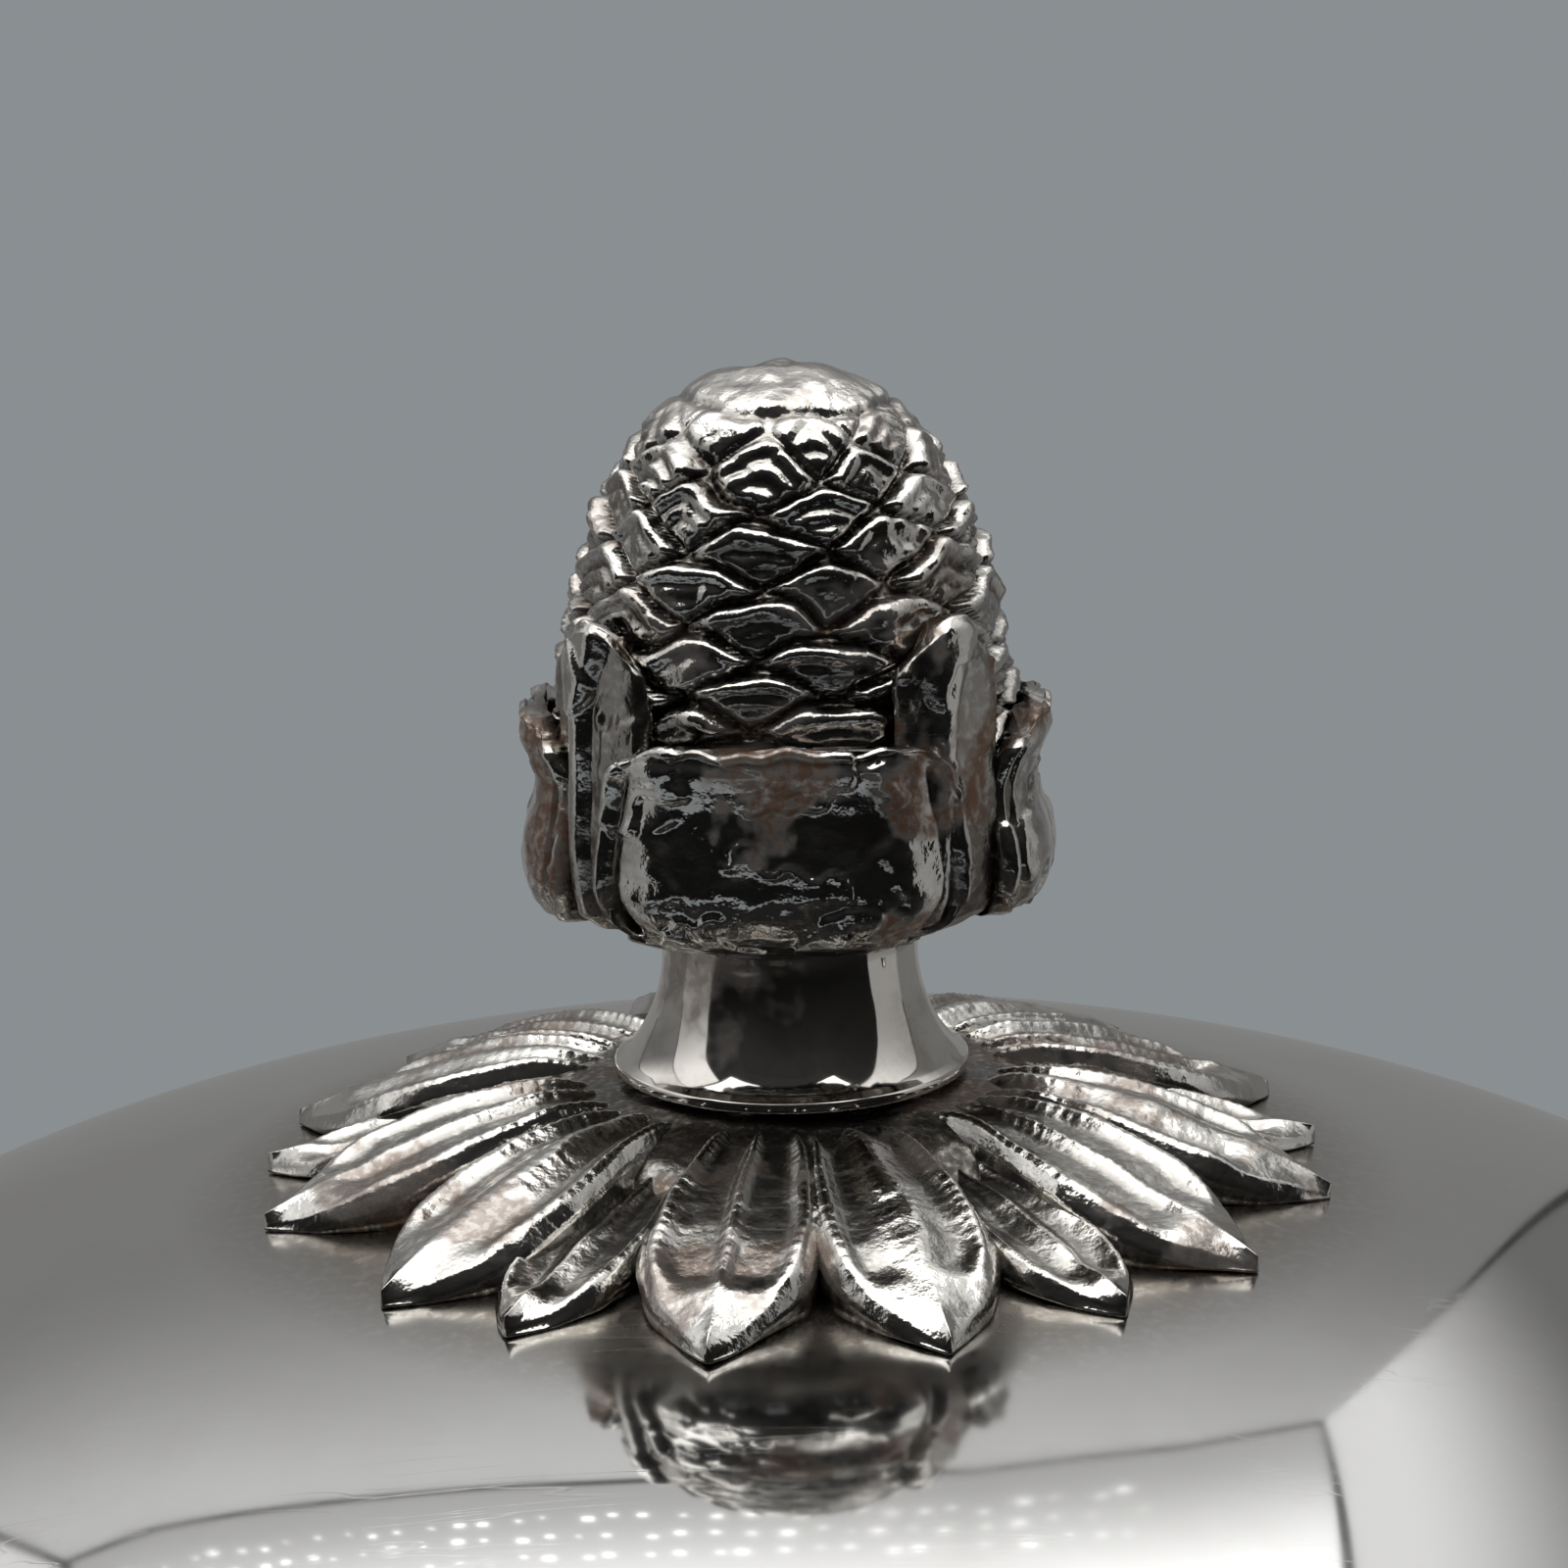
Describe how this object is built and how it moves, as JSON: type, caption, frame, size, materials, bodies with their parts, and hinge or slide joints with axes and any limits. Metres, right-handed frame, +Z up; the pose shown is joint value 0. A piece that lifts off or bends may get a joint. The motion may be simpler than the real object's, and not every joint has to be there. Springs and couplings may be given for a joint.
{
  "type": "covered sugar bowl",
  "caption": "Round covered sugar bowl on a pedestal foot, with loop handles and a domed lid that lifts off by a pine cone finial on a leaf rosette.",
  "frame": {"origin": "on the table, under the middle of the foot", "axes": "+Z up through the foot, bowl, lid and finial; +X through the right-hand handle; -Y is the front"},
  "size_m": [0.1784, 0.1204, 0.1717],
  "materials": {
    "bowl_silver": "mirror polished silver with fine handling scratches",
    "foot_silver": "mirror polished silver with fine handling scratches",
    "wire_silver": "polished silver moulding with tarnish in its corners",
    "handle_silver": "cast and polished silver, slightly soft from use",
    "cast_leaf_silver": "cast and chased silver, polished high places over oxidised grooves",
    "lid_silver": "mirror polished silver with fine handling scratches",
    "bezel_silver": "satin turned silver",
    "rosette_silver": "cast and chased silver leaves, polished rims over dark tooled grooves",
    "spool_silver": "turned and polished silver, slightly warm from tarnish",
    "calyx_silver": "cast and chased silver, rubbed and dented, brown tarnish in its hollows",
    "cone_silver": "cast and chased silver, bright scale edges over black oxidised grooves",
    "fastening_silver": "dull filed silver"
  },
  "bodies": {
    "bowl": {"foot_base_wire": "wire_silver", "foot_pedestal": "foot_silver", "foot_collar": "wire_silver", "bowl_shell": "bowl_silver", "bowl_rim_wire": "wire_silver", "handle_left": "handle_silver", "handle_right": "handle_silver", "handle_upper_leaf_left": "cast_leaf_silver", "handle_upper_leaf_right": "cast_leaf_silver", "handle_lower_leaf_left": "cast_leaf_silver", "handle_lower_leaf_right": "cast_leaf_silver"},
    "lid": {"lid_rim_ring": "wire_silver", "lid_bezel": "bezel_silver", "lid_dome": "lid_silver", "leaf_rosette": "rosette_silver", "finial_stem": "spool_silver", "finial_calyx": "calyx_silver", "finial_cone": "cone_silver", "finial_stud": "fastening_silver", "finial_washer": "fastening_silver", "finial_nut": "fastening_silver"}
  },
  "joints": [
    {"name": "lid_lift", "type": "slide", "parent": "bowl", "child": "lid", "axis": [0, 0, 1], "range_m": [0, 0.12]}
  ]
}
